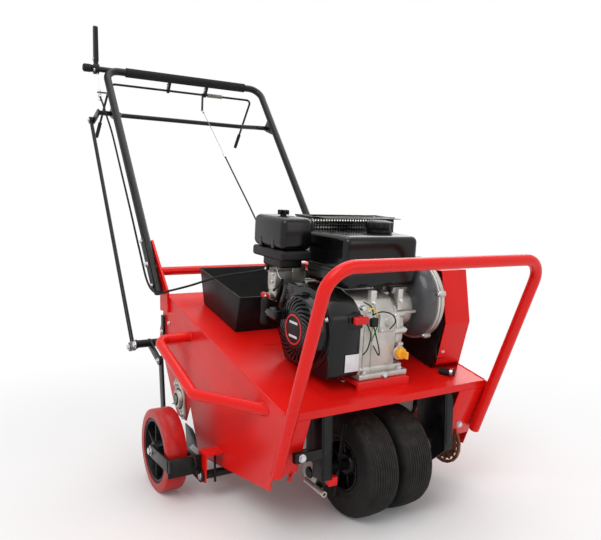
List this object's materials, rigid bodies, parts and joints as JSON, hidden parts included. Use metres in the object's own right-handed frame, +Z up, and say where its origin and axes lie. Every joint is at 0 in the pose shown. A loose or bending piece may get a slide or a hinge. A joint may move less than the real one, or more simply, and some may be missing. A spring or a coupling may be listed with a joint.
{
  "type": "lawn aerator",
  "caption": "Walk-behind core lawn aerator: red steel frame on wheels, tine reel driven by belt and chains from a small engine, folding lift bar and U-shaped handle with clutch bail.",
  "frame": {"origin": "on the ground, under the middle of the bounding box in length and width", "axes": "+Z up, +Y toward the operator and the handle, -Y the front with the bumper, +X the operator's left with the belt and chains"},
  "size_m": [0.825, 1.5538, 1.32],
  "materials": {
    "red_paint": "glossy powder coat",
    "black_paint": "semi-gloss powder coat",
    "black_plastic": "moulded, slightly worn",
    "cast_aluminium": "as cast",
    "bare_steel": "bare, used",
    "worn_steel": "rust film",
    "rubber": "matte",
    "tyre": "worn and dusty",
    "red_urethane": "smooth, scuffed",
    "red_plastic": "gloss",
    "orange_plastic": "gloss"
  },
  "bodies": {
    "chassis": {"air_cleaner_base": "black_plastic", "air_cleaner_cover": "black_plastic", "belt_guard": "red_paint", "blower_housing": "black_plastic", "bumper": "red_paint", "carburettor": "cast_aluminium", "clutch_cable": "rubber", "crankcase": "cast_aluminium", "deck": "red_paint", "drive_belt": "rubber", "engine_mount": "red_paint", "front_chain": "worn_steel", "front_hanger_left": "black_paint", "front_hanger_right": "black_paint", "fuel_tank": "black_plastic", "grip_sleeve": "rubber", "handlebar": "black_paint", "muffler": "black_paint", "rear_cross_tube": "red_paint", "rear_tray": "black_plastic", "recoil_cover": "black_plastic", "reduction_housing": "cast_aluminium", "reel_bearing_left": "cast_aluminium", "reel_bearing_right": "cast_aluminium", "reel_chain": "worn_steel", "side_guard_left": "red_paint", "side_guard_right": "red_paint", "side_panel_left": "red_paint", "side_panel_right": "red_paint", "throttle_cable": "rubber"},
    "clutch_bail": {"clutch_bail": "black_paint"},
    "lift_bar": {"lift_bar": "black_paint"},
    "lift_rod": {"lift_rod": "black_paint"},
    "lift_rocker": {"lift_rocker": "black_paint"},
    "lift_links": {"lift_link_right": "black_paint", "lift_link_left": "black_paint"},
    "swing_frame": {"swing_frame": "black_paint"},
    "rear_wheel_right": {"rear_rim_right": "black_plastic", "rear_tread_right": "red_urethane"},
    "rear_wheel_left": {"rear_rim_left": "black_plastic", "rear_tread_left": "red_urethane"},
    "front_wheels": {"front_axle": "black_paint", "front_tyre_right": "tyre", "front_tyre_left": "tyre"},
    "jackshaft": {"jackshaft": "bare_steel"},
    "output_pulley": {"output_pulley": "bare_steel"},
    "idler_arm": {"idler_arm": "bare_steel"},
    "tine_reel": {"reel_shaft": "bare_steel", "tine_wheel_1": "bare_steel", "tine_wheel_2": "bare_steel", "tine_wheel_3": "bare_steel", "tine_wheel_4": "bare_steel"},
    "recoil_handle": {"recoil_handle": "black_plastic"},
    "fuel_cap": {"fuel_cap": "black_plastic"},
    "dipstick": {"dipstick": "orange_plastic"},
    "engine_switch": {"engine_switch": "red_plastic"},
    "throttle_lever": {"throttle_lever": "black_plastic"},
    "choke_lever": {"choke_lever": "black_plastic"},
    "fuel_valve_lever": {"fuel_valve_lever": "red_plastic"}
  },
  "joints": [
    {"name": "clutch_bail", "type": "hinge", "parent": "chassis", "child": "clutch_bail", "pos_m": [0, 0.6095, 1.138], "axis": [1, 0, 0], "range_deg": [0, 35], "stiffness_Nm_per_rad": 1},
    {"name": "idler_arm", "type": "hinge", "parent": "chassis", "child": "idler_arm", "pos_m": [0.2105, -0.31458, 0.32237], "axis": [1, 0, 0], "range_deg": [0, 8]},
    {"name": "swing_frame", "type": "hinge", "parent": "chassis", "child": "swing_frame", "pos_m": [0, -0.3105, 0.066], "axis": [1, 0, 0], "range_deg": [0, 23]},
    {"name": "lift_rocker", "type": "hinge", "parent": "chassis", "child": "lift_rocker", "pos_m": [0, 0.0745, 0.315], "axis": [1, 0, 0], "range_deg": [-70, 0]},
    {"name": "lift_bar", "type": "hinge", "parent": "chassis", "child": "lift_bar", "pos_m": [0, 0.5195, 1.02], "axis": [1, 0, 0], "range_deg": [-70, 0]},
    {"name": "lift_rod", "type": "hinge", "parent": "lift_bar", "child": "lift_rod", "pos_m": [-0.35, 0.5805, 1.002], "axis": [1, 0, 0], "range_deg": [0, 70]},
    {"name": "lift_links", "type": "hinge", "parent": "lift_rocker", "child": "lift_links", "pos_m": [0, -0.0055, 0.28], "axis": [1, 0, 0], "range_deg": [0, 55]},
    {"name": "rear_wheel_right", "type": "hinge", "parent": "swing_frame", "child": "rear_wheel_right", "pos_m": [-0.373, -0.1835, 0.1], "axis": [1, 0, 0], "continuous": true},
    {"name": "rear_wheel_left", "type": "hinge", "parent": "swing_frame", "child": "rear_wheel_left", "pos_m": [0.373, -0.1835, 0.1], "axis": [1, 0, 0], "continuous": true},
    {"name": "tine_reel", "type": "hinge", "parent": "chassis", "child": "tine_reel", "pos_m": [0, -0.0625, 0.183], "axis": [1, 0, 0], "continuous": true},
    {"name": "jackshaft", "type": "hinge", "parent": "chassis", "child": "jackshaft", "pos_m": [0.2, -0.3755, 0.215], "axis": [1, 0, 0], "continuous": true},
    {"name": "front_wheels", "type": "hinge", "parent": "chassis", "child": "front_wheels", "pos_m": [0, -0.5315, 0.118], "axis": [1, 0, 0], "continuous": true},
    {"name": "output_pulley", "type": "hinge", "parent": "chassis", "child": "output_pulley", "pos_m": [0.2, -0.4873, 0.47438], "axis": [1, 0, 0], "continuous": true},
    {"name": "recoil_handle", "type": "slide", "parent": "chassis", "child": "recoil_handle", "axis": [0, 0.866, 0.5], "range_m": [0, 0.45]},
    {"name": "fuel_cap", "type": "hinge", "parent": "chassis", "child": "fuel_cap", "pos_m": [0.072, -0.45767, 0.63487], "axis": [0, -0.0872, 0.9962], "continuous": true},
    {"name": "dipstick", "type": "hinge", "parent": "chassis", "child": "dipstick", "pos_m": [0.052, -0.56063, 0.36256], "axis": [0, -0.9962, -0.0872], "continuous": true},
    {"name": "engine_switch", "type": "hinge", "parent": "chassis", "child": "engine_switch", "pos_m": [-0.078, -0.58233, 0.45], "axis": [0, -0.9962, -0.0872], "range_deg": [0, 60]},
    {"name": "throttle_lever", "type": "hinge", "parent": "chassis", "child": "throttle_lever", "pos_m": [-0.3295, 0.5825, 1.177], "axis": [1, 0, 0], "range_deg": [-30, 30]},
    {"name": "choke_lever", "type": "hinge", "parent": "chassis", "child": "choke_lever", "pos_m": [-0.1603, -0.32956, 0.54741], "axis": [1, 0, 0], "range_deg": [0, 60]},
    {"name": "fuel_valve_lever", "type": "hinge", "parent": "chassis", "child": "fuel_valve_lever", "pos_m": [-0.1603, -0.32879, 0.48122], "axis": [1, 0, 0], "range_deg": [0, 90]}
  ],
  "couplings": [
    {"joint": "idler_arm", "follows": "clutch_bail", "ratio": 0.2285},
    {"joint": "lift_rocker", "follows": "swing_frame", "ratio": -3.0434},
    {"joint": "lift_bar", "follows": "swing_frame", "ratio": -3.0434},
    {"joint": "lift_rod", "follows": "swing_frame", "ratio": 3.0434},
    {"joint": "lift_links", "follows": "swing_frame", "ratio": 2.3913},
    {"joint": "jackshaft", "follows": "tine_reel", "ratio": 3},
    {"joint": "front_wheels", "follows": "tine_reel", "ratio": 2},
    {"joint": "output_pulley", "follows": "tine_reel", "ratio": 6.4286}
  ]
}
